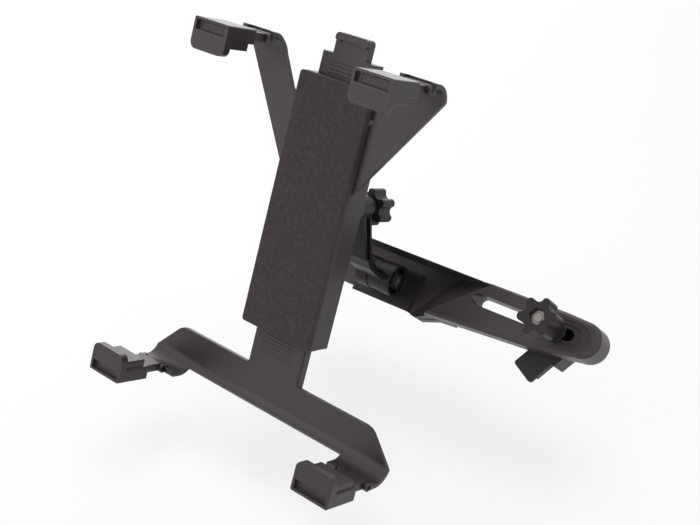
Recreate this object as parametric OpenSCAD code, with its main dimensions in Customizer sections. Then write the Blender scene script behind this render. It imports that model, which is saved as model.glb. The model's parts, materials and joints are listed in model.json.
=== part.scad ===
// Tablet holder that clamps behind the two posts of a car headrest.
// Origin: centre of the clamp bar's back face. X runs along the bar, Z is up, the screen side is -Y.

/* [Pose as stored] */
// Lean of the clamp bar from lying flat, in degrees
bar_lean = 46.6; // [30:0.1:100]
// Tilt of the arm on the bar, in degrees
tilt = 21.4; // [0:0.1:40]
// Turn of the cradle on the arm, in degrees
swivel = 1.57; // [-10:0.01:10]
// Turn of the clamp jaw about its bolt, in degrees
jaw_turn = -28; // [-35:1:0]
// Distance of the clamp bolt from the slot's far end
jaw_back = 10; // [6:0.5:40]

/* [Cradle] */
// Pad and housing width
pad_w = 60; // [56:0.5:66]
// Pad and housing height
pad_h = 176; // [160:1:190]
// Foam pad thickness
pad_t = 4.4; // [3:0.2:6]
// Thickness of the front housing
front_t = 6.1; // [5:0.1:7]
// Depth of the rear housing
rear_t = 13.8; // [13:0.1:18]
// Width of the sliding strip
strip_w = 44.6; // [38:0.2:48]
// Thickness of the sliding strip
strip_t = 9; // [7:0.1:9.4]
// Height of the top end of the strip above the pad centre
strip_top = 117.5; // [112:0.5:122]
// Pitch of the fine grooves on the strip
rib_pitch = 2.6; // [2:0.1:4]

/* [Arms and lower bracket] */
// Half spacing of the upper grips
top_x = 66; // [60:0.5:70]
// Height of the upper hinge pins
top_y = 101.5; // [100:0.5:104]
// Half spacing of the lower grips
low_x = 96; // [90:0.5:100]
// Depth of the lower hinge pins below the pad centre
low_y = 147; // [143:0.5:150]
// Wall of the arms and of the lower plate
plate_t = 3; // [2.4:0.1:3.4]
// Radius of the forward bend
bend_r = 13; // [10:0.5:14]

/* [Grips] */
// Grip width
grip_w = 30; // [28:0.5:34]
// Grip face distance in front of the pad
grip_z = 52.8; // [48:0.2:58]
// Sleeve length
sleeve_l = 26.5; // [22:0.5:30]
// Hook reach over the tablet edge
hook_r = 16.2; // [14:0.2:20]
// Tongue width
tongue_w = 19; // [16:0.5:20]
// Tongue thickness
tongue_t = 5.5; // [4.5:0.1:5.8]
// Hinge pin radius
pin_r = 1.5; // [1.2:0.05:1.9]

/* [Arm and hinges] */
// Boss radius on the back of the housing
boss_r = 12; // [10:0.5:14]
// Arm width
arm_w = 16; // [13:0.5:18]
// Tilt barrel radius
barrel_r = 12; // [10:0.5:13]
// Tilt barrel half length
barrel_l = 15.3; // [14:0.1:20]
// Swivel bolt radius
swivel_bolt_r = 3; // [2.5:0.1:3.5]
// Tilt bolt radius
tilt_bolt_r = 2.5; // [2:0.1:3]
// Knob radius over the lobes
knob_r = 13.6; // [12:0.1:15]
// Height of a knob's lobed head
knob_h = 13.5; // [10:0.5:16]
// Length of the clamp knob's round neck
neck_l = 19.5; // [5:0.5:25]
// Radius of the clamp knob's round neck
neck_r = 8; // [7:0.5:9]

/* [Clamp bar] */
// Reach of the slotted end from the hinge centre
bar_reach = 180; // [172:1:190]
// Radius of the rounded bar end
wing_r = 12.6; // [11:0.2:13]
// Slot width
slot_w = 8.2; // [7.4:0.1:9]
// Centre of the slot's inner round end
slot_a = 84.5; // [82:0.5:95]
// Centre of the slot's outer round end
slot_b = 156.5; // [130:0.5:158]
// Wall of the bar
bar_wall = 2.6; // [2:0.1:3.2]
// Clamp bolt radius
clamp_bolt_r = 3; // [2.5:0.1:3.2]
// Clear gap inside the jaw and the fixed hook
post_gap = 15; // [12:0.5:18]

/* [Hidden] */
$fn = 64;
eps = 0.01;
fit = 0.05;
gap = 0.3;
pin_z = 8.5;
lug_r = 2.9;
lug_t = 2.5;
seat_y = 2;
seat_z = -22;
arm_rise = 52.6;
arm_reach = 107;
swivel_y = 2;
// Cradle levels, front to back, measured from the pad's front face.
plate_z = -pad_t;
seam_z = -pad_t - front_t;
back_z = seam_z - rear_t;
strip_z = plate_z - 3.4;
strip_back = strip_z - strip_t;
boss_z = -50;
eye_t = 15.4;
eye_z = boss_z - 1.2;
knob_collar = 4.2;
knob_z = eye_z - eye_t - knob_collar;
half_w = pad_w / 2;
half_h = pad_h / 2;
strip_h = strip_w / 2;
low_plate_top = -117.2;
lip_half = 73;
// How far the curled edges stand outside the hinge pins.
top_curl = 4.5;
low_curl = 1.6;
lip_angle = 44;
tab_half = 13.6;
// Bar levels in the frame of the tilt barrel.
wing_z = 8;
wing_back = -11.5;
base_t = 2;
floor_z = -barrel_r - base_t;
top_edge = 23.6;
rim_y = 21.9;
screw_x = 21;
screw_y = [-10, 6];
wing_x = bar_reach - wing_r;
wing_y = 9.7;
slot_y = 9;
jaw_x = slot_b - jaw_back;
jaw_top = wing_back - gap;
hook_x = -52;
jaw_seat = seat_z + 1.2;
jaw_hook_l = 24;
washer_t = 1;
knob_top = wing_z + washer_t + neck_l + knob_h;
grip_y0 = 4.2;
win_c = -0.7;

// Frames: the bar carries the arm and the arm carries the cradle.
module bar_frame() {
  rotate([bar_lean, 0, 0]) translate([0, -seat_y, -seat_z]) children();
}

module arm_frame() {
  bar_frame() rotate([tilt, 0, 0]) translate([0, arm_rise, arm_reach]) children();
}

module cradle_frame() {
  arm_frame() rotate([0, 0, -swivel]) translate([0, -swivel_y, 0]) children();
}

module jaw_frame() {
  bar_frame() translate([jaw_x, slot_y, 0]) rotate([0, 0, jaw_turn]) children();
}

// Places a child at one of the four hinge pins, local +Y away from the pad centre.
module at_pin(side, top) {
  mirror([side < 0 ? 1 : 0, 0, 0])
    translate([top ? top_x : low_x, top ? top_y : -low_y, pin_z])
      mirror([0, top ? 0 : 1, 0])
        children();
}

module slab(x0, x1, y0, y1, z0, z1) {
  translate([x0, y0, z0]) cube([x1 - x0, y1 - y0, z1 - z0]);
}

module rounded_box(x0, x1, y0, y1, r, z0, z1) {
  slab(x0 + r, x1 - r, y0, y1, z0, z1);
  slab(x0, x1, y0 + r, y1 - r, z0, z1);
  for (x = [x0 + r, x1 - r], y = [y0 + r, y1 - r]) {
    translate([x, y, z0]) cylinder(r = r, h = z1 - z0);
  }
}

// Profile in the YZ plane pulled along X.
module along_x(x0, x1) {
  translate([x0, 0, 0]) rotate([90, 0, 90]) linear_extrude(height = x1 - x0) children();
}

module star(r) {
  difference() {
    union() {
      circle(r = r * 0.8);
      for (i = [0 : 5]) {
        rotate(60 * i) translate([r * 0.76, 0]) circle(r = r * 0.24);
      }
    }
    for (i = [0 : 5]) {
      rotate(60 * i + 30) translate([r * 0.99, 0]) circle(r = r * 0.29);
    }
  }
}

// Cradle.
module pad() {
  color([0.16, 0.15, 0.15]) cradle_frame()
    slab(-half_w, half_w, -half_h, half_h, -pad_t, 0);
}

module v_arm_outline() {
  polygon([[half_w - 2, 17], [half_w + 0.8, 21], [top_x + 13.6, top_y - 8.1], [top_x + 14.4, top_y - 6.1],
    [top_x + 14.4, top_y + 12], [top_x - 13.5, top_y + 12], [top_x - 13.5, top_y + 0.6],
    [top_x - 16.2, top_y - 7.7], [half_w + 7.6, half_h - 13.7], [half_w - 2, half_h - 25]]);
}

// Side profile of a plate that curls forward, with its front face at z = face.
module curl_profile(face, far) {
  back = face - plate_t;
  c = far - bend_r;
  intersection() {
    translate([c, back + bend_r]) difference() {
      circle(r = bend_r);
      circle(r = bend_r - plate_t);
    }
    translate([c - eps, back - 1]) square([bend_r + 1, bend_r + 1]);
  }
  translate([far - plate_t, back + bend_r - eps]) square([plate_t, pin_z - back - bend_r]);
  translate([0, back]) square([c, plate_t]);
}

module lugs() {
  for (s = [-1, 1]) {
    x0 = s > 0 ? tongue_w / 2 + 0.4 : -tongue_w / 2 - 0.4 - lug_t;
    slab(x0, x0 + lug_t, -lug_r + 0.5, lug_r - 0.5, -5, 0);
    translate([x0, 0, 0]) rotate([0, 90, 0]) cylinder(r = lug_r, h = lug_t);
  }
}

module lug_bores() {
  rotate([0, 90, 0]) cylinder(r = pin_r + 0.02, h = tongue_w + 12, center = true);
}

module tongue_room() {
  slab(-tongue_w / 2 - 0.4, tongue_w / 2 + 0.4, -8, 9, -lug_r - 1.6, 8);
}

module v_arm() {
  difference() {
    union() {
      intersection() {
        translate([0, 0, plate_z - 20]) linear_extrude(height = 50) v_arm_outline();
        along_x(0, 100) curl_profile(plate_z, top_y + top_curl);
      }
      translate([top_x, top_y, pin_z]) lugs();
      translate([0, 0, plate_z - plate_t]) linear_extrude(height = plate_t - 0.3) ear(0);
    }
    // Slit round the lower end of the ear.
    translate([0, 0, plate_z - 1.2]) linear_extrude(height = 3) difference() {
      ear(0.9);
      ear(0);
      translate([0, half_h - 5]) square([60, 20]);
    }
    translate([top_x, top_y, pin_z]) lug_bores();
    translate([top_x, top_y, pin_z]) tongue_room();
  }
}

// Narrow ear beside the pad, rounded at its lower end.
module ear(grow) {
  ear_r = 2.6;
  translate([half_w + 1.2, half_h - 15]) {
    circle(r = ear_r + grow);
    translate([-ear_r - grow, 0]) square([2 * (ear_r + grow), 13]);
  }
}

module front_housing() {
  color([0.2, 0.2, 0.21]) cradle_frame() {
    difference() {
      slab(-half_w, half_w, -half_h, half_h, seam_z, plate_z);
      slab(-strip_h - gap, strip_h + gap, -half_h - 1, half_h + 1, seam_z - 1, strip_z + gap);
    }
    v_arm();
    mirror([1, 0, 0]) v_arm();
  }
}

module rear_housing() {
  color([0.19, 0.19, 0.2]) cradle_frame() difference() {
    union() {
      slab(-half_w + 0.4, half_w - 0.4, -half_h, half_h, back_z + 2, seam_z);
      slab(-half_w + 2.4, half_w - 2.4, -half_h, half_h, back_z, back_z + 2 + eps);
      translate([0, swivel_y, boss_z]) cylinder(r = boss_r, h = back_z - boss_z + 1);
    }
    slab(-strip_h - gap, strip_h + gap, -half_h - 1, half_h + 1, strip_back - gap, seam_z + 1);
    translate([0, swivel_y, boss_z - 1]) cylinder(r = swivel_bolt_r + 0.05, h = 60);
    translate([0, swivel_y, strip_back - 4.4]) cylinder(r = swivel_bolt_r * 1.9, h = 10, $fn = 6);
    slab(-5, 5, 30, 64, strip_back - 2.6, strip_back);
    for (x = [-1, 1], y = [-1, 1]) {
      translate([x * (half_w - 4), y * (half_h - 14), back_z - 1]) cylinder(r = 2.9, h = 5);
    }
  }
}

module housing_screws() {
  color([0.5, 0.5, 0.52]) cradle_frame() for (x = [-1, 1], y = [-1, 1]) {
    translate([x * (half_w - 4), y * (half_h - 14), back_z + 1.4]) difference() {
      cylinder(r = 2.6, h = 2.6);
      slab(-1.6, 1.6, -0.35, 0.35, -1, 1.1);
      slab(-0.35, 0.35, -1.6, 1.6, -1, 1.1);
    }
  }
}

module detent_spring() {
  color([0.6, 0.6, 0.6]) cradle_frame() {
    slab(-4, 4, 31, 63, strip_back - 2.4, strip_back - 1.7);
    slab(-4, 4, 31, 33, strip_back - 2.4, strip_back - 0.6);
    translate([-4, 47, strip_back - 1.5]) rotate([0, 90, 0]) cylinder(r = 1, h = 8);
  }
}

// Sliding strip with the wide lower scoop.
module low_outline() {
  for (s = [0, 1]) {
    mirror([s, 0, 0]) polygon([[-eps, low_plate_top], [low_x - 12, low_plate_top],
      [low_x - 7.7, low_plate_top - 0.9], [low_x - 4.8, low_plate_top - 2.8],
      [low_x + 12.9, -low_y + 8.5], [low_x + 12.9, -low_y - 12], [-eps, -low_y - 12]]);
  }
}

module lower_bracket() {
  far = low_y + low_curl;
  lip_z = strip_z + 1.6;
  groove_y = half_h + 2;
  stem = strip_h - 0.5;
  color([0.19, 0.19, 0.2]) cradle_frame() difference() {
    union() {
      slab(-stem, stem, low_plate_top - 11, strip_top - 14, strip_back, strip_z);
      slab(-strip_h, strip_h, low_plate_top - 2, strip_top - 16, strip_back + 2.5, strip_z - 2.5);
      rounded_box(-tab_half, tab_half, strip_top - 20, strip_top, 3, strip_back + 2.8, strip_z);
      slab(-tab_half, tab_half, strip_top - 4.6, strip_top - 3, strip_z - 2, lip_z);
      slab(-tab_half + 3, tab_half - 3, strip_top - 4.6, strip_top, strip_z - 2, lip_z);
      for (x = [-tab_half + 3, tab_half - 3]) {
        translate([x, strip_top - 3, strip_z - 2]) cylinder(r = 3, h = lip_z - strip_z + 2);
      }
      intersection() {
        translate([0, 0, -40]) linear_extrude(height = 80) low_outline();
        mirror([0, 1, 0]) along_x(-130, 130) curl_profile(strip_z, far);
      }
      for (s = [-1, 1]) {
        at_pin(s, false) lugs();
        // Small fillets between the strip and the wide plate.
        translate([s * (stem + 2.5), low_plate_top + 2.5, strip_z - plate_t]) difference() {
          slab(-3 - s * 0.5, 3 - s * 0.5, -3, 0, 0, plate_t);
          translate([0, 0, -1]) cylinder(r = 2.5, h = plate_t + 2);
          translate([s * 2.5, 0, 1]) cube([5, 12, 12], center = true);
        }
      }
    }
    // Fine grooves across the strip, under and over the pad.
    for (i = [0 : 5]) {
      y = -groove_y - 2 - i * rib_pitch;
      slab(-tab_half, tab_half, y, y + 0.6, strip_z - 0.4, strip_z + 0.2);
    }
    for (i = [0 : 3]) {
      y = groove_y + i * rib_pitch;
      slab(-tab_half, tab_half, y, y + 0.6, strip_z - 0.4, strip_z + 0.2);
    }
    // The middle of the lip ends part way round the bend.
    mirror([0, 1, 0]) along_x(-lip_half, lip_half) translate([far - bend_r, strip_z - plate_t + bend_r])
      polygon([[0, 0], [60 * sin(lip_angle), -60 * cos(lip_angle)], [90, 0], [90, 40], [0, 40]]);
    for (s = [-1, 1]) {
      at_pin(s, false) lug_bores();
      at_pin(s, false) tongue_room();
    }
    translate([0, low_plate_top - 11, strip_back - 1]) cylinder(r = 9, h = 5);
  }
}

// Folding tongues, pins and grips.
module tongue_body() {
  difference() {
    union() {
      rotate([0, 90, 0]) cylinder(r = lug_r, h = tongue_w, center = true);
      slab(-tongue_w / 2, tongue_w / 2, win_c - tongue_t / 2, win_c + tongue_t / 2, 0, grip_z - pin_z - 2.6);
    }
    rotate([0, 90, 0]) cylinder(r = pin_r + fit, h = tongue_w + 2, center = true);
  }
}

module grip_body() {
  z1 = grip_z - pin_z;
  z0 = z1 - sleeve_l;
  w = grip_w / 2;
  block_y = 5.5 - hook_r;
  difference() {
    union() {
      rounded_box(-w, w, win_c - 4.9, grip_y0, 1.2, z0, z1);
      rounded_box(-w + 1.5, w - 1.5, block_y, win_c - 3, 1.2, z0 + 3.7, z1 - 5.2);
      slab(-w, w, -hook_r + 5, -3, z1 - 5.6, z1);
      slab(-w + 5, w - 5, -hook_r, -3, z1 - 5.6, z1);
      for (s = [-1, 1]) {
        translate([s * (w - 5), -hook_r + 5, z1 - 5.6]) cylinder(r = 5, h = 5.6);
      }
    }
    slab(-tongue_w / 2 - 0.15, tongue_w / 2 + 0.15, win_c - tongue_t / 2 - 0.12,
      win_c + tongue_t / 2 + 0.12, z0 - 1, z1 + 1);
    slab(-w + 2, w - 2, win_c - 3.15, win_c + 3.15, z1 - 2.4, z1 + 1);
    for (i = [0 : 4]) {
      slab(-w + 3, w - 3, -hook_r + 2.4 + i * 1.8, -hook_r + 2.8 + i * 1.8, z1 - 0.14, z1 + 1);
    }
  }
}

module pin_body() {
  rotate([0, 90, 0]) cylinder(r = pin_r, h = tongue_w + 2 * lug_t, center = true);
}

module tongue_tl() {
  color([0.17, 0.17, 0.18]) cradle_frame() at_pin(-1, true) tongue_body();
}

module tongue_tr() {
  color([0.17, 0.17, 0.18]) cradle_frame() at_pin(1, true) tongue_body();
}

module tongue_bl() {
  color([0.17, 0.17, 0.18]) cradle_frame() at_pin(-1, false) tongue_body();
}

module tongue_br() {
  color([0.17, 0.17, 0.18]) cradle_frame() at_pin(1, false) tongue_body();
}

module hinge_pin_tl() {
  color([0.6, 0.6, 0.62]) cradle_frame() at_pin(-1, true) pin_body();
}

module hinge_pin_tr() {
  color([0.6, 0.6, 0.62]) cradle_frame() at_pin(1, true) pin_body();
}

module hinge_pin_bl() {
  color([0.6, 0.6, 0.62]) cradle_frame() at_pin(-1, false) pin_body();
}

module hinge_pin_br() {
  color([0.6, 0.6, 0.62]) cradle_frame() at_pin(1, false) pin_body();
}

module grip_tl() {
  color([0.2, 0.2, 0.21]) cradle_frame() at_pin(-1, true) grip_body();
}

module grip_tr() {
  color([0.2, 0.2, 0.21]) cradle_frame() at_pin(1, true) grip_body();
}

module grip_bl() {
  color([0.2, 0.2, 0.21]) cradle_frame() at_pin(-1, false) grip_body();
}

module grip_br() {
  color([0.2, 0.2, 0.21]) cradle_frame() at_pin(1, false) grip_body();
}

// Swivel joint on the back of the cradle.
module swivel_bolt() {
  color([0.6, 0.6, 0.62]) cradle_frame() translate([0, swivel_y, 0]) {
    translate([0, 0, knob_z - 7]) cylinder(r = swivel_bolt_r, h = strip_back - 1 - knob_z + 7);
    translate([0, 0, strip_back - 4.3]) cylinder(r = swivel_bolt_r * 1.85, h = 3.6, $fn = 6);
  }
}

module swivel_washer() {
  color([0.55, 0.55, 0.57]) arm_frame() translate([0, 0, eye_z + 0.1]) difference() {
    cylinder(r = 9.5, h = 1);
    translate([0, 0, -1]) cylinder(r = swivel_bolt_r + fit, h = 4);
  }
}

module swivel_knob() {
  color([0.18, 0.18, 0.19]) arm_frame() translate([0, 0, knob_z - knob_h]) difference() {
    union() {
      linear_extrude(height = knob_h) rotate(30) star(knob_r);
      cylinder(r = knob_r * 0.5, h = knob_h + knob_collar - 1.6);
      cylinder(r = swivel_bolt_r + 1.6, h = knob_h + knob_collar - 0.2);
    }
    translate([0, 0, knob_h - 8]) cylinder(r = swivel_bolt_r + fit, h = knob_collar + 9);
  }
}

// Arm between swivel and tilt barrel, seen from the side as [height, depth] pairs.
function arm_front(d) = [[-2, eye_z - 5 - d], [-12, eye_z - 9.3 - d * 1.1],
  [15.6 - arm_rise + d * 0.3, 35.8 - arm_reach - d * 1.1],
  [9.2 - arm_rise + d * 0.9, 30.5 - arm_reach - d * 0.9],
  [4.3 - arm_rise + d, 21.9 - arm_reach - d * 0.5], [-0.4 - arm_rise + d, 10.5 - arm_reach]];

function arm_back(d) = [[-2, eye_z - eye_t + 1 + d], [-9, eye_z - 16.8 + d * 1.1],
  [30.6 - arm_rise, 34.1 - arm_reach + d * 1.1], [17.6 - arm_rise - d * 0.4, 29 - arm_reach + d * 1.1],
  [10.1 - arm_rise - d, 20.2 - arm_reach + d * 0.5], [6.4 - arm_rise - d, 9.3 - arm_reach]];

function reversed(points) = [for (i = [len(points) - 1 : -1 : 0]) points[i]];

module tilt_arm() {
  flange = 1.8;
  web = [[0.6 - arm_rise, 4 - arm_reach], [4.6 - arm_rise, 4 - arm_reach]];
  toe = [2 - arm_rise, 2 - arm_reach];
  color([0.19, 0.19, 0.2]) arm_frame() difference() {
    union() {
      translate([0, 0, eye_z - eye_t]) cylinder(r = 9, h = eye_t);
      along_x(-2.5, 2.5) polygon(concat(arm_front(0), web, reversed(arm_back(0))));
      along_x(-arm_w / 2, arm_w / 2) polygon(concat(arm_front(0), reversed(arm_front(flange))));
      along_x(-arm_w / 2, arm_w / 2) polygon(concat(arm_back(0), reversed(arm_back(flange))));
      along_x(-arm_w / 2 - 2, arm_w / 2 + 2) polygon(concat([for (i = [2 : 5]) arm_front(0)[i]], [toe],
        [for (i = [5 : -1 : 2]) arm_front(3)[i]]));
      translate([-4.5, -arm_rise, -arm_reach]) rotate([0, 90, 0]) cylinder(r = barrel_r - 0.5, h = 9);
    }
    translate([0, 0, eye_z - eye_t - 1]) cylinder(r = swivel_bolt_r + fit, h = eye_t + 2);
    translate([0, -arm_rise, -arm_reach]) rotate([0, 90, 0]) {
      cylinder(r = tilt_bolt_r + fit, h = 40, center = true);
      for (s = [-1, 1]) {
        translate([0, 0, s * 24.5]) cylinder(r = barrel_r + 0.6, h = 40, center = true);
      }
    }
  }
}

// Hinge base on the bar.
module barrel_lug() {
  lug_l = barrel_l - 4.8;
  difference() {
    union() {
      rotate([0, 90, 0]) cylinder(r = barrel_r, h = lug_l);
      slab(0, lug_l, -8.5, 8.5, floor_z + 1.5, -4);
    }
    translate([lug_l - 7, 0, 0]) rotate([0, 90, 0]) difference() {
      cylinder(r = barrel_r - 1.8, h = 10);
      cylinder(r = 6.2, h = 6.4);
      for (a = [45, 135]) {
        rotate([0, 0, a]) translate([-20, -0.6, 0]) cube([40, 1.2, 6.6]);
      }
    }
    rotate([0, 90, 0]) cylinder(r = tilt_bolt_r + 0.02, h = 60, center = true);
    translate([lug_l - 4, 0, 0]) rotate([0, 90, 0]) cylinder(r = tilt_bolt_r * 1.85, h = 10, $fn = 6);
  }
}

module hinge_base() {
  color([0.18, 0.18, 0.19]) bar_frame() {
    difference() {
      slab(-26.3, 26.3, -16.7, 12.3, floor_z, floor_z + base_t);
      for (x = [-screw_x, screw_x], y = screw_y) {
        translate([x, y, floor_z - 1]) cylinder(r = 2.03, h = 2.3);
      }
    }
    translate([4.8, 0, 0]) barrel_lug();
    mirror([1, 0, 0]) translate([4.8, 0, 0]) barrel_lug();
  }
}

module base_screws() {
  color([0.5, 0.5, 0.52]) bar_frame() for (x = [-screw_x, screw_x], y = screw_y) {
    translate([x, y, floor_z - 2.6]) {
      cylinder(r = 2, h = 3.8);
      difference() {
        translate([0, 0, -2.2]) cylinder(r = 3.4, h = 2.2);
        slab(-2, 2, -0.4, 0.4, -3, -1);
        slab(-0.4, 0.4, -2, 2, -3, -1);
      }
    }
  }
}

module tilt_bolt() {
  color([0.6, 0.6, 0.62]) bar_frame() rotate([0, 90, 0]) {
    translate([0, 0, -barrel_l + 3]) cylinder(r = tilt_bolt_r, h = 2 * barrel_l - 4.2);
    translate([0, 0, -barrel_l + 0.6]) cylinder(r = tilt_bolt_r * 1.8, h = 3.3, $fn = 6);
  }
}

module tilt_nut() {
  color([0.55, 0.55, 0.57]) bar_frame() rotate([0, 90, 0]) translate([0, 0, barrel_l - 3.9]) difference() {
    cylinder(r = tilt_bolt_r * 1.8, h = 3, $fn = 6);
    translate([0, 0, -1]) cylinder(r = tilt_bolt_r + 0.02, h = 5);
  }
}

// Clamp bar.
module wing_outline(i) {
  polygon([[20, rim_y + 0.3 - i], [100, rim_y + 0.8 - i], [150, rim_y + 1.1 - i],
    [wing_x, wing_y + wing_r - i],
    [wing_x, wing_y - wing_r + i], [136, -8.2 + i], [57.7, -13.5 + i], [50, -14 + i], [36, -18.8 + i],
    [20, -16.7 + i]]);
  translate([wing_x, wing_y]) circle(r = wing_r - i);
}

// Front of the slotted end, the only part that shows its rounded shoulder.
module wing_face(i) {
  polygon([[50, rim_y + 0.3 - i * 0.2], [150, rim_y + 1.1 - i], [wing_x, wing_y + wing_r - i],
    [wing_x, wing_y - wing_r + i], [136, -8.2 + i], [57.7, -13.5 + i], [50, -14 + i]]);
  translate([wing_x, wing_y]) circle(r = wing_r - i);
}

module wing_block() {
  shoulder = 2;
  translate([0, 0, wing_back]) linear_extrude(height = wing_z - shoulder - wing_back) wing_outline(0);
  translate([0, 0, wing_z - shoulder - 0.1]) linear_extrude(height = shoulder + 0.1) intersection() {
    wing_outline(shoulder);
    translate([10, -40]) square([40.01, 80]);
  }
  hull() {
    translate([0, 0, wing_z - shoulder - 0.02]) linear_extrude(height = 0.02) wing_face(0);
    translate([0, 0, wing_z - 0.02]) linear_extrude(height = 0.02) wing_face(shoulder);
  }
}

module slot_2d(i) {
  translate([slot_a, slot_y - slot_w / 2 - i]) square([slot_b - slot_a, slot_w + 2 * i]);
  for (x = [slot_a, slot_b]) {
    translate([x, slot_y]) circle(r = slot_w / 2 + i);
  }
}

// Shallow steps in the front face round the slot's outer end.
module tip_steps() {
  translate([0, 0, wing_z - 0.7]) linear_extrude(height = 2) {
    translate([slot_b + 6.5, slot_y + 0.4]) circle(r = slot_w + 0.6);
    translate([slot_b - 12, slot_y + 0.4 - slot_w - 0.6]) square([18.5, 2 * slot_w + 1.2]);
  }
  translate([0, 0, wing_z - 1.5]) linear_extrude(height = 3) {
    translate([slot_b + 3, slot_y]) circle(r = slot_w - 1.6);
    translate([slot_b - 10, slot_y - slot_w + 1.6]) square([13, 2 * slot_w - 3.2]);
  }
}

module ramp_cut() {
  hull() {
    for (p = [[0, -54, floor_z], [55.7, 25.2, floor_z], [26, -35.7, wing_z], [94.4, 25.1, wing_z]]) {
      translate(p) cube(0.01);
      translate([p[0], p[1], 30]) cube(0.01);
    }
    for (p = [[0, 26, floor_z], [-30, -50, floor_z]]) {
      translate(p) cube(0.01);
      translate([p[0], p[1], 30]) cube(0.01);
    }
  }
}

module hook_profile(room, wall) {
  difference() {
    union() {
      translate([0, -room - wall]) square([room / 2 + wall, room + 2 * wall]);
      translate([room / 2, -room / 2]) circle(r = room / 2 + wall);
    }
    translate([-40, -room]) square([40 + room / 2, room]);
    translate([room / 2, -room / 2]) circle(r = room / 2);
    translate([-40, -room - wall * 2]) square([42, wall * 3 + 1]);
  }
}

module headrest_bar() {
  color([0.19, 0.19, 0.2]) bar_frame() difference() {
    union() {
      difference() {
        wing_block();
        ramp_cut();
        tip_steps();
        translate([0, 0, wing_back - 1]) linear_extrude(height = wing_z - 3 - wing_back + 1) intersection() {
          difference() {
            wing_outline(bar_wall);
            slot_2d(2);
          }
          translate([98, -30]) square([100, 60]);
        }
      }
      // Floor of the middle section and its rear walls.
      difference() {
        translate([0, 0, seat_z]) linear_extrude(height = floor_z - seat_z) mid_outline(0);
        translate([0, 0, seat_z - 1]) linear_extrude(height = floor_z - seat_z - 3 + 1) difference() {
          mid_outline(bar_wall);
          for (x = [-45 : 30 : 60]) {
            translate([x - 1, -30]) square([2, 60]);
          }
        }
      }
      // Top flange.
      along_x(-60, 92) polygon([[rim_y - 2.4, seat_z], [rim_y - 0.5, wing_z], [rim_y, wing_z],
        [top_edge, floor_z], [top_edge, seat_z]]);
      // Fixed hook for the far post.
      translate([hook_x, 14, seat_z]) rotate([90, 0, 0]) mirror([1, 0, 0]) linear_extrude(height = 24)
        hook_profile(post_gap, 3);
    }
    translate([0, 0, wing_back - 20]) linear_extrude(height = 60) slot_2d(0);
    for (x = [-screw_x, screw_x], y = screw_y) {
      translate([x, y, seat_z - 1]) cylinder(r = 3.6, h = floor_z - 2.6 - seat_z + 1);
      translate([x, y, seat_z]) cylinder(r = 2.1, h = 12);
    }
  }
}

module mid_outline(i) {
  polygon([[-66 + i, top_edge - i], [64 - i, top_edge - i], [64 - i, -13 + i], [50, -14 + i],
    [36, -18.8 + i], [25, -16.7 + i], [-5, -14 + i], [-66 + i, -13 + i]]);
}

module hook_pad() {
  color([0.12, 0.12, 0.12]) bar_frame()
    slab(hook_x - 6, hook_x + 5, -8, 12, seat_z - 1.2, seat_z);
}

// Sliding jaw with its bolt and knob.
module clamp_jaw() {
  color([0.19, 0.19, 0.2]) jaw_frame() difference() {
    union() {
      rounded_box(-9.5, 9.5, -38, 11, 2, jaw_top - 3, jaw_top);
      slab(-8, 8, -33, 10, jaw_seat, jaw_top - 2);
      translate([0, 0, jaw_top - 1]) cylinder(r = slot_w / 2 - fit, h = wing_z - jaw_top - 1);
      translate([1, 6, jaw_seat]) rotate([90, 0, 0]) linear_extrude(height = jaw_hook_l) jaw_profile(3);
      slab(8, 11.5, 6 - jaw_hook_l, 6, jaw_seat - post_gap / 2, jaw_top - 0.6);
    }
    translate([0, 0, -60]) cylinder(r = clamp_bolt_r + fit, h = 80);
    translate([0, 0, jaw_seat - 1]) cylinder(r = clamp_bolt_r * 1.95, h = jaw_top - jaw_seat - 1.6, $fn = 6);
  }
}

// Hook round a post, open towards -X, with the post centre below the seat.
module jaw_profile(wall) {
  difference() {
    union() {
      translate([-7, -post_gap - wall]) square([7, wall]);
      translate([0, -post_gap / 2]) circle(r = post_gap / 2 + wall);
    }
    translate([-40, -post_gap]) square([40, post_gap]);
    translate([0, -post_gap / 2]) circle(r = post_gap / 2);
    translate([-40, -post_gap / 2]) square([33, 60]);
    translate([-40, 0]) square([32, 10]);
  }
}

module jaw_pad() {
  color([0.1, 0.1, 0.1]) jaw_frame()
    slab(-7, 0, -30, 2, jaw_seat - 1.2, jaw_seat);
}

module clamp_bolt() {
  head_z = jaw_top - 6.2;
  color([0.62, 0.62, 0.6]) jaw_frame() {
    translate([0, 0, head_z]) cylinder(r = clamp_bolt_r, h = knob_top - 3 - head_z);
    translate([0, 0, head_z]) cylinder(r = clamp_bolt_r * 1.85, h = 3.4, $fn = 6);
  }
}

module clamp_washer() {
  color([0.5, 0.5, 0.5]) bar_frame() translate([jaw_x, slot_y, wing_z]) difference() {
    cylinder(r = neck_r, h = washer_t);
    translate([0, 0, -1]) cylinder(r = clamp_bolt_r + fit, h = 3);
  }
}

module clamp_nut() {
  color([0.5, 0.5, 0.5]) bar_frame() translate([jaw_x, slot_y, knob_top - 8.2]) difference() {
    cylinder(r = clamp_bolt_r * 1.85, h = 4.6, $fn = 6);
    translate([0, 0, -1]) cylinder(r = clamp_bolt_r + fit, h = 7);
  }
}

module clamp_knob() {
  base = wing_z + washer_t;
  color([0.18, 0.18, 0.19]) bar_frame() translate([jaw_x, slot_y, base]) difference() {
    union() {
      translate([0, 0, neck_l]) linear_extrude(height = knob_h) rotate(18) star(knob_r);
      cylinder(r = neck_r, h = neck_l + 1);
    }
    translate([0, 0, -1]) cylinder(r = clamp_bolt_r + fit, h = neck_l + knob_h + 2);
    translate([0, 0, neck_l + knob_h - 8.2]) cylinder(r = clamp_bolt_r * 1.92, h = 12, $fn = 6);
  }
}

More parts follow.
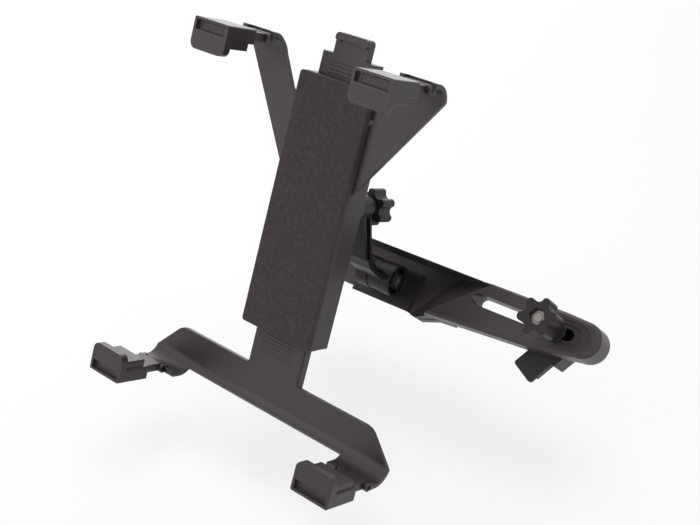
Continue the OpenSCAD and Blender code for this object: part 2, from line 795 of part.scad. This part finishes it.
pad();
front_housing();
rear_housing();
lower_bracket();
detent_spring();
housing_screws();
tongue_tl();
tongue_tr();
tongue_bl();
tongue_br();
hinge_pin_tl();
hinge_pin_tr();
hinge_pin_bl();
hinge_pin_br();
grip_tl();
grip_tr();
grip_bl();
grip_br();
swivel_bolt();
swivel_washer();
swivel_knob();
tilt_arm();
tilt_bolt();
tilt_nut();
hinge_base();
base_screws();
headrest_bar();
clamp_jaw();
jaw_pad();
hook_pad();
clamp_bolt();
clamp_washer();
clamp_nut();
clamp_knob();
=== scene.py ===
# %% [markdown]
# A tablet holder for the back of a car seat. The solid parts come from the imported model, which
# stays where it is, so this script only adds what solids don't say: finish, foam, light and a view.
# The box of the shown parts is measured later, to set how low the floor lies.

import json
import math

import bmesh
import bpy
from mathutils import Matrix, Vector


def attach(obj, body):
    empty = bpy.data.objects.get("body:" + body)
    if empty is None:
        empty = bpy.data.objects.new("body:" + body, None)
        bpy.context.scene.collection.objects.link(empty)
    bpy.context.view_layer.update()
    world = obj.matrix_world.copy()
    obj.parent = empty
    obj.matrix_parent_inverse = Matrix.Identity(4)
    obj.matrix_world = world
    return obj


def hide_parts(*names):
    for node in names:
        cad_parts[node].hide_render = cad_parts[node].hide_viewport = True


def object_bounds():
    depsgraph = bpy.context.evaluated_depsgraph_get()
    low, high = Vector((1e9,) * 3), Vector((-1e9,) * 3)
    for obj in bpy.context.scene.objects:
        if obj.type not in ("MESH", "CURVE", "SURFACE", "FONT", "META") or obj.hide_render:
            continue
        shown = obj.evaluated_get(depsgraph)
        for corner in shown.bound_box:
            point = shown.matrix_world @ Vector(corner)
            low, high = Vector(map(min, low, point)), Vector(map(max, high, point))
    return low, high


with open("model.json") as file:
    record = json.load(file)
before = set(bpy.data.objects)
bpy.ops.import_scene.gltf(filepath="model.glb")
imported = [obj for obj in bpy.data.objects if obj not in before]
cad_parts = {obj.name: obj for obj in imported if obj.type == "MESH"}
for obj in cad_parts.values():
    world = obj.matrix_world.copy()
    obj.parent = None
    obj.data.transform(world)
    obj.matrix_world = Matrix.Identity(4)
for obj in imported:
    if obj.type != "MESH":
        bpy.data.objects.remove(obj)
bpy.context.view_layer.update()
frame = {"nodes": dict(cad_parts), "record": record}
nodes = frame["nodes"]


# %% [markdown]
# The view is that of a product shot from the right, above the middle. A camera is turned in three
# steps: its heading about the vertical, how far it looks down, and the small roll of the picture.

# %% Camera
VIEW_FROM = Vector((0.4662, -0.5973, 0.4660))
HEADING = math.radians(40.552)
LOOK_DOWN = math.radians(30.676)
ROLL = math.radians(-1.374)
LENS_MM = 60.70

camera_data = bpy.data.cameras.new("view")
camera_data.lens = LENS_MM
camera_data.sensor_width = 36
camera_data.clip_start = 0.01
camera = bpy.data.objects.new("view", camera_data)
bpy.context.scene.collection.objects.link(camera)
turn = (
    Matrix.Rotation(HEADING, 4, "Z")
    @ Matrix.Rotation(math.pi / 2 - LOOK_DOWN, 4, "X")
    @ Matrix.Rotation(ROLL, 4, "Z")
)
camera.matrix_world = Matrix.Translation(VIEW_FROM) @ turn
bpy.context.scene.camera = camera
print("camera right:", [round(v, 4) for v in turn.col[0]], "up:", [round(v, 4) for v in turn.col[1]])

# %% [markdown]
# Shader maths reads best as plain expressions. This small class wraps one output socket, so that
# adding or multiplying two of them places the Math node that does it. Colours are mixed and
# directions compared by their own nodes, and every other node comes from the one method, `place`.

# %% Sockets as expressions
class Wire:
    def __init__(self, tree, socket):
        self.tree = tree
        self.socket = socket

    def _math(self, operation, first, second):
        return place(self.tree, "ShaderNodeMath", {"operation": operation}, {0: first, 1: second})

    def __add__(self, other):
        return self._math("ADD", self, other)

    __radd__ = __add__

    def __mul__(self, other):
        return self._math("MULTIPLY", self, other)

    __rmul__ = __mul__

    def __sub__(self, other):
        return self._math("SUBTRACT", self, other)

    def __rsub__(self, other):
        return self._math("SUBTRACT", other, self)

    def dot(self, other):
        inputs = {0: self, 1: other}
        return place(self.tree, "ShaderNodeVectorMath", {"operation": "DOT_PRODUCT"}, inputs, output=1)

    def at_most(self, limit):
        return self._math("MINIMUM", self, limit)


def place(tree, kind, settings=None, inputs=None, output=0):
    """Adds one node, sets it, then feeds its sockets with values or wires."""
    node = tree.nodes.new(kind)
    for key, value in (settings or {}).items():
        setattr(node, key, value)
    for key, value in (inputs or {}).items():
        if isinstance(value, Wire):
            tree.links.new(value.socket, node.inputs[key])
        else:
            node.inputs[key].default_value = value
    return Wire(tree, node.outputs[output])


def blend_colours(tree, factor, first, second):
    inputs = {0: factor, 6: first, 7: second}
    return place(tree, "ShaderNodeMix", {"data_type": "RGBA"}, inputs, output=2)


def noise(tree, where, scale, detail):
    inputs = {"Vector": where, "Scale": scale, "Detail": detail}
    return place(tree, "ShaderNodeTexNoise", inputs=inputs)


def new_material(name):
    material = bpy.data.materials.new(name)
    material.use_nodes = True
    material.node_tree.nodes.clear()
    return material, material.node_tree


def close_material(tree, shader):
    out = tree.nodes.new("ShaderNodeOutputMaterial")
    tree.links.new(shader.socket, out.inputs["Surface"])


print("shader helpers ready")

# %% [markdown]
# No moulded edge is a knife edge: the mould leaves about half a millimetre of radius, which
# catches the light as a thin pale line. A Bevel node bends the shading over each edge by that much.
# How far it bends away from the flat surface also gives a mask along the edges, where the colour is
# painted paler as a painted highlight.

# %% Moulded edges
EDGE_RADIUS = 0.0005


def moulded_edge(tree):
    """The bent surface direction near edges, and a mask that is 1 on them and 0 on flat faces."""
    bent = place(tree, "ShaderNodeBevel", {"samples": 6}, {"Radius": EDGE_RADIUS})
    flat = place(tree, "ShaderNodeNewGeometry", output=1)
    # A mask on the edges, where a pale painted highlight is mixed into the colour.
    edge_highlight = ((1.0 - bent.dot(flat)) * 3.0).at_most(1.0)
    return bent, edge_highlight


print("edge radius:", EDGE_RADIUS * 1000, "mm")

# %% [markdown]
# The mouldings are charcoal plastic with a fine spark-eroded grain. The colour isn't one even tone,
# and its edges are painted paler, a painted highlight. Noise of two sizes gives the cloudy colour,
# and a fine noise behind a Bump node gives the grain.

# %% Moulded plastic
def moulded_plastic(name, dark, light, edge_highlight_colour, grain_size, grain_depth, smooth, rough, shine):
    material, tree = new_material(name)
    where = place(tree, "ShaderNodeTexCoord", output=3)
    cloud = noise(tree, where, 26.0, 4.0)
    speck = noise(tree, where, 900.0, 2.0)
    grain = noise(tree, where, grain_size, 3.0)
    bent, edge_highlight = moulded_edge(tree)
    body = blend_colours(tree, cloud * 0.7 + speck * 0.3, dark, light)
    # The edges are mixed towards a paler grey: a painted highlight.
    colour = blend_colours(tree, edge_highlight * (0.35 + 0.5 * cloud), body, edge_highlight_colour)
    roughness = smooth + (rough - smooth) * (cloud * 0.6 + grain * 0.4)
    bump = place(
        tree,
        "ShaderNodeBump",
        inputs={"Height": grain, "Strength": 0.35, "Distance": grain_depth, "Normal": bent},
    )
    shader = place(
        tree,
        "ShaderNodeBsdfPrincipled",
        inputs={
            "Base Color": colour,
            "Roughness": roughness,
            "Normal": bump,
            "IOR": 1.5,
            "Specular IOR Level": shine,
            "Specular Tint": (1.0, 0.91, 0.94, 1.0),
        },
    )
    close_material(tree, shader)
    print("plastic:", name)
    return material


def charcoal(value):
    """A neutral dark with the slight warmth of the real plastic."""
    return (value, value * 0.83, value * 0.88, 1.0)


PLASTICS = {
    # name: (dark, light, painted edge highlight, grain size, grain depth, smooth, rough, shine)
    "black_plastic": (0.022, 0.033, 0.11, 2600, 0.00012, 0.34, 0.46, 0.5),
    "grip_plastic": (0.022, 0.034, 0.13, 2200, 0.00010, 0.30, 0.40, 0.45),
    "tongue_plastic": (0.020, 0.030, 0.09, 2600, 0.00012, 0.36, 0.48, 0.5),
    "knob_plastic": (0.011, 0.018, 0.08, 2400, 0.00012, 0.36, 0.48, 0.3),
    # A darker copy of the plastic, painted shade for pieces that lie in shadow.
    "shade_dark_plastic": (0.012, 0.020, 0.09, 1800, 0.00014, 0.34, 0.46, 0.3),
}
plastics = {
    name: moulded_plastic(name, charcoal(dark), charcoal(light), charcoal(edge_highlight), *rest)
    for name, (dark, light, edge_highlight, *rest) in PLASTICS.items()
}

# %% [markdown]
# The pad is foam with a woven face, so that a tablet neither slips nor rattles. Its threads run
# along and across the pad, and each swells and thins on its way. Noise that is stretched along one
# direction gives such threads, and two of them at right angles give the cloth. Cloth scatters
# light between its fibres, which the small sheen stands for.

# %% Woven foam
THREAD_WIDTH = 0.0007
THREAD_STRETCH = 5.0


def woven_foam():
    material, tree = new_material("foam")
    where = place(tree, "ShaderNodeTexCoord", output=3)
    threads = []
    for squeeze in ((1.0 / THREAD_STRETCH, 1.0, 1.0), (1.0, 1.0 / THREAD_STRETCH, 1.0)):
        stretched = place(tree, "ShaderNodeMapping", inputs={"Vector": where, "Scale": squeeze})
        threads.append(noise(tree, stretched, 0.6 / THREAD_WIDTH, 2.0))
    cloud = noise(tree, where, 60.0, 5.0)
    fuzz = noise(tree, where, 1500.0, 3.0)
    weave = (threads[0] + threads[1] - 1.0) * 1.4 + 0.5
    shade = weave * 0.6 + cloud * 0.2 + fuzz * 0.2
    colour = blend_colours(tree, shade, (0.022, 0.017, 0.018, 1), (0.072, 0.057, 0.060, 1))
    bump = place(
        tree,
        "ShaderNodeBump",
        inputs={"Height": weave * 0.6 + fuzz * 0.4, "Strength": 0.8, "Distance": 0.0004},
    )
    shader = place(
        tree,
        "ShaderNodeBsdfPrincipled",
        inputs={
            "Base Color": colour,
            "Roughness": 0.82 + 0.12 * cloud,
            "Normal": bump,
            "Specular IOR Level": 0.2,
            "Sheen Weight": 0.08,
        },
    )
    close_material(tree, shader)
    print("foam: threads", THREAD_WIDTH * 1000, "mm wide")
    return material


foam = woven_foam()

# %% [markdown]
# Bolts, nuts and screws are zinc-plated steel, pale and a little cloudy. The hinge pins are black
# oxide steel, so that they don't shine beside the dark plastic. The two post pads are rubber.

# %% Steel and rubber
def plated_steel(name, dull, bright):
    material, tree = new_material(name)
    where = place(tree, "ShaderNodeTexCoord", output=3)
    cloud = noise(tree, where, 220.0, 5.0)
    fine = noise(tree, where, 2400.0, 2.0)
    bent, edge_highlight = moulded_edge(tree)
    body = blend_colours(tree, cloud, dull, bright)
    # The edges are mixed towards a pale grey: a painted highlight.
    colour = blend_colours(tree, edge_highlight * 0.4, body, (0.7, 0.69, 0.66, 1))
    bump = place(
        tree,
        "ShaderNodeBump",
        inputs={"Height": fine, "Strength": 0.3, "Distance": 0.0001, "Normal": bent},
    )
    shader = place(
        tree,
        "ShaderNodeBsdfPrincipled",
        inputs={"Base Color": colour, "Metallic": 0.9, "Roughness": 0.28 + cloud * 0.22, "Normal": bump},
    )
    close_material(tree, shader)
    print("steel:", name)
    return material


zinc_steel = plated_steel("zinc_steel", (0.16, 0.15, 0.14, 1), (0.30, 0.29, 0.27, 1))
spring_steel = plated_steel("spring_steel", (0.40, 0.40, 0.40, 1), (0.55, 0.55, 0.54, 1))
black_oxide = plated_steel("black_oxide", (0.030, 0.029, 0.030, 1), (0.060, 0.058, 0.058, 1))
# The rubber's edges get the same pale painted highlight, from its third colour.
rubber = moulded_plastic(
    "rubber", charcoal(0.014), charcoal(0.024), charcoal(0.04), 1500, 0.0002, 0.7, 0.85, 0.4
)

# %% [markdown]
# Each solid takes the finish that its record names, but for two: the hinge pins are black, and the tilt
# arm, hinge base and clamp jaw take a darker copy of the plastic, painted shade for the shadow they lie
# in.

# %% Dress the solids
FINISHES = dict(
    plastics,
    foam=foam,
    zinc_steel=zinc_steel,
    spring_steel=spring_steel,
    black_oxide=black_oxide,
    rubber=rubber,
)
SPECIAL_FINISH = {name: "black_oxide" for name in nodes if name.startswith("hinge_pin")}
# These three take the darker copy of the plastic: painted shade.
SPECIAL_FINISH.update({name: "shade_dark_plastic" for name in ("tilt_arm", "hinge_base", "clamp_jaw")})
for row in frame["record"]["subparts"]:
    name = row["node"]
    slot = SPECIAL_FINISH.get(name, row["material_slot"])
    mesh = nodes[name].data
    mesh.materials.clear()
    mesh.materials.append(FINISHES[slot])

# %% [markdown]
# The pad is drawn again as soft foam, in the place of its solid. Its length, width and thickness
# run along the solid's own flat faces, so the directions are read from them: the largest pair of
# faces is the front and back, the next pair is the long sides.

# %% Where the pad lies
def flat_directions(mesh):
    """The two directions that most of the mesh's area faces, largest first."""
    areas = {}
    for face in mesh.polygons:
        sign = 1 if face.normal[1] + 0.01 * face.normal[0] < 0 else -1
        key = tuple(round(sign * v, 2) for v in face.normal)
        areas[key] = areas.get(key, 0.0) + face.area
    ranked = sorted(areas, key=areas.get, reverse=True)
    first = Vector(ranked[0]).normalized()
    second = next(Vector(k).normalized() for k in ranked if abs(Vector(k).dot(first)) < 0.1)
    return first, second


pad_mesh = nodes["pad"].data
front, side = flat_directions(pad_mesh)
side = (side - front * side.dot(front)).normalized()
along = front.cross(side)
axes = Matrix((side, along, front)).transposed()
local = [axes.inverted() @ v.co for v in pad_mesh.vertices]
lows = Vector([min(p[i] for p in local) for i in range(3)])
highs = Vector([max(p[i] for p in local) for i in range(3)])
pad_size = highs - lows
print("pad size (mm):", [round(v * 1000, 1) for v in pad_size])

# %% [markdown]
# Die-cut foam has nearly square edges that roll over a little, and a face that is faintly crowned.
# Rings of a rounded rectangle are stacked from the glued back to the crown, each with its own
# inset and height, and joined into one closed mesh, which smooth shading then rolls over.

# %% Foam pad
CORNER_RADIUS = 0.0022
RINGS = [
    # (inset from the side, height below the front)
    (0.0004, 1.0),
    (0.0000, 0.93),
    (0.0000, 0.5),
    (0.0000, 0.16),
    (0.0002, 0.07),
    (0.0007, 0.015),
    (0.0016, 0.0),
    (0.0060, -0.02),
    (0.0140, -0.03),
]


def rounded_ring(half_width, half_length, radius, steps=4):
    """Points round a rounded rectangle, with extra ones on its long sides."""
    points = []
    for x_sign, y_sign, start in ((1, -1, -90), (1, 1, 0), (-1, 1, 90), (-1, -1, 180)):
        for i in range(steps + 1):
            angle = math.radians(start + 90 * i / steps)
            x = x_sign * (half_width - radius) + radius * math.cos(angle)
            y = y_sign * (half_length - radius) + radius * math.sin(angle)
            points.append((x, y))
    return points


def foam_pad(size):
    shape = bmesh.new()
    loops = []
    for inset, depth in RINGS:
        ring = rounded_ring(size[0] / 2 - inset, size[1] / 2 - inset, max(CORNER_RADIUS - inset, 0.0006))
        loops.append([shape.verts.new((x, y, -depth * size[2])) for x, y in ring])
    for lower, upper in zip(loops, loops[1:]):
        for i in range(len(lower)):
            j = (i + 1) % len(lower)
            shape.faces.new((lower[i], lower[j], upper[j], upper[i]))
    shape.faces.new(loops[-1])
    shape.faces.new(reversed(loops[0]))
    bmesh.ops.recalc_face_normals(shape, faces=shape.faces)
    mesh = bpy.data.meshes.new("foam_pad")
    shape.to_mesh(mesh)
    shape.free()
    for face in mesh.polygons:
        face.use_smooth = True
    return mesh


pad_piece = bpy.data.objects.new("foam_pad", foam_pad(pad_size))
bpy.context.scene.collection.objects.link(pad_piece)
middle = (lows + highs) / 2
middle[2] = highs[2]
pad_piece.matrix_world = Matrix.Translation(axes @ middle) @ axes.to_4x4()
pad_piece.data.materials.append(foam)
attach(pad_piece, "cradle")
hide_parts("pad")
print("foam pad faces:", len(pad_piece.data.polygons))

# %% [markdown]
# A pale floor lies under the holder, low enough that the cradle clears it when it is tilted down.
# To the camera alone it is lifted about halfway to white, so that only a soft shadow is left on it.

# %% Floor
low_corner, high_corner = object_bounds()
FLOOR_SIZE = 6.0
ROOM_TO_TILT = 0.07
FLOOR_LIFT = 0.55
floor_level = low_corner[2] - ROOM_TO_TILT
bpy.ops.mesh.primitive_plane_add(size=FLOOR_SIZE, location=(0, 0, floor_level))
floor = bpy.context.object
floor.name = "studio_floor"
floor_paint, tree = new_material("studio_floor")
paint = place(
    tree, "ShaderNodeBsdfPrincipled", inputs={"Base Color": (0.94, 0.94, 0.94, 1), "Roughness": 0.9}
)
white = place(tree, "ShaderNodeEmission", inputs={"Color": (1, 1, 1, 1), "Strength": 1.0})
camera_sees = place(tree, "ShaderNodeLightPath", output=0)
lifted = place(tree, "ShaderNodeMixShader", inputs={0: camera_sees * FLOOR_LIFT, 1: paint, 2: white})
close_material(tree, lifted)
floor.data.materials.append(floor_paint)
print("floor at", round(floor_level, 4))

# %% [markdown]
# The room is an even white. It is dimmer as a light than it looks, so that the dark plastic keeps
# its colour: only the camera, mirror-like surfaces and clear ones see it at full white.

# %% White room
world = bpy.data.worlds.new("studio")
bpy.context.scene.world = world
world.use_nodes = True
tree = world.node_tree
tree.nodes.clear()
light_path = tree.nodes.new("ShaderNodeLightPath")
seen = sum(
    Wire(tree, light_path.outputs[ray])
    for ray in ("Is Camera Ray", "Is Glossy Ray", "Is Transmission Ray")
)
AMBIENT = 0.6
sky = place(
    tree,
    "ShaderNodeBackground",
    inputs={"Color": (1, 1, 1, 1), "Strength": AMBIENT + (1.0 - AMBIENT) * seen.at_most(1.0)},
)
out = tree.nodes.new("ShaderNodeOutputWorld")
tree.links.new(sky.socket, out.inputs["Surface"])
print("room light:", AMBIENT)

# %% [markdown]
# Glossy plastic shows what it mirrors, so large sheets of light do more than strong ones: a sheet
# in front on the left for the flat plates, one overhead, one low behind, which the tops of the
# grips mirror at a shallow angle, and one at the left side.

# %% Sheets of light
MIDDLE = Vector((0, -0.05, 0.05))
SHEETS = [
    # (name, place, size in metres, watts)
    ("front_sheet", (-0.85, -1.5, 0.85), 1.2, 4),
    ("top_sheet", (0.3, -0.3, 1.7), 1.0, 10),
    ("back_sheet", (-1.35, 2.0, 0.45), 1.6, 13),
    ("side_sheet", (-1.7, 0.5, 0.6), 1.2, 10),
]


def softbox(name, at, size, watts):
    data = bpy.data.lights.new(name, "AREA")
    data.shape = "SQUARE"
    data.size = size
    data.energy = watts
    lamp = bpy.data.objects.new(name, data)
    lamp.location = at
    lamp.rotation_euler = (MIDDLE - Vector(at)).to_track_quat("-Z", "Y").to_euler()
    bpy.context.scene.collection.objects.link(lamp)


for sheet in SHEETS:
    softbox(*sheet)
bpy.context.scene.view_settings.view_transform = "Standard"
print("sheets of light:", len(SHEETS))
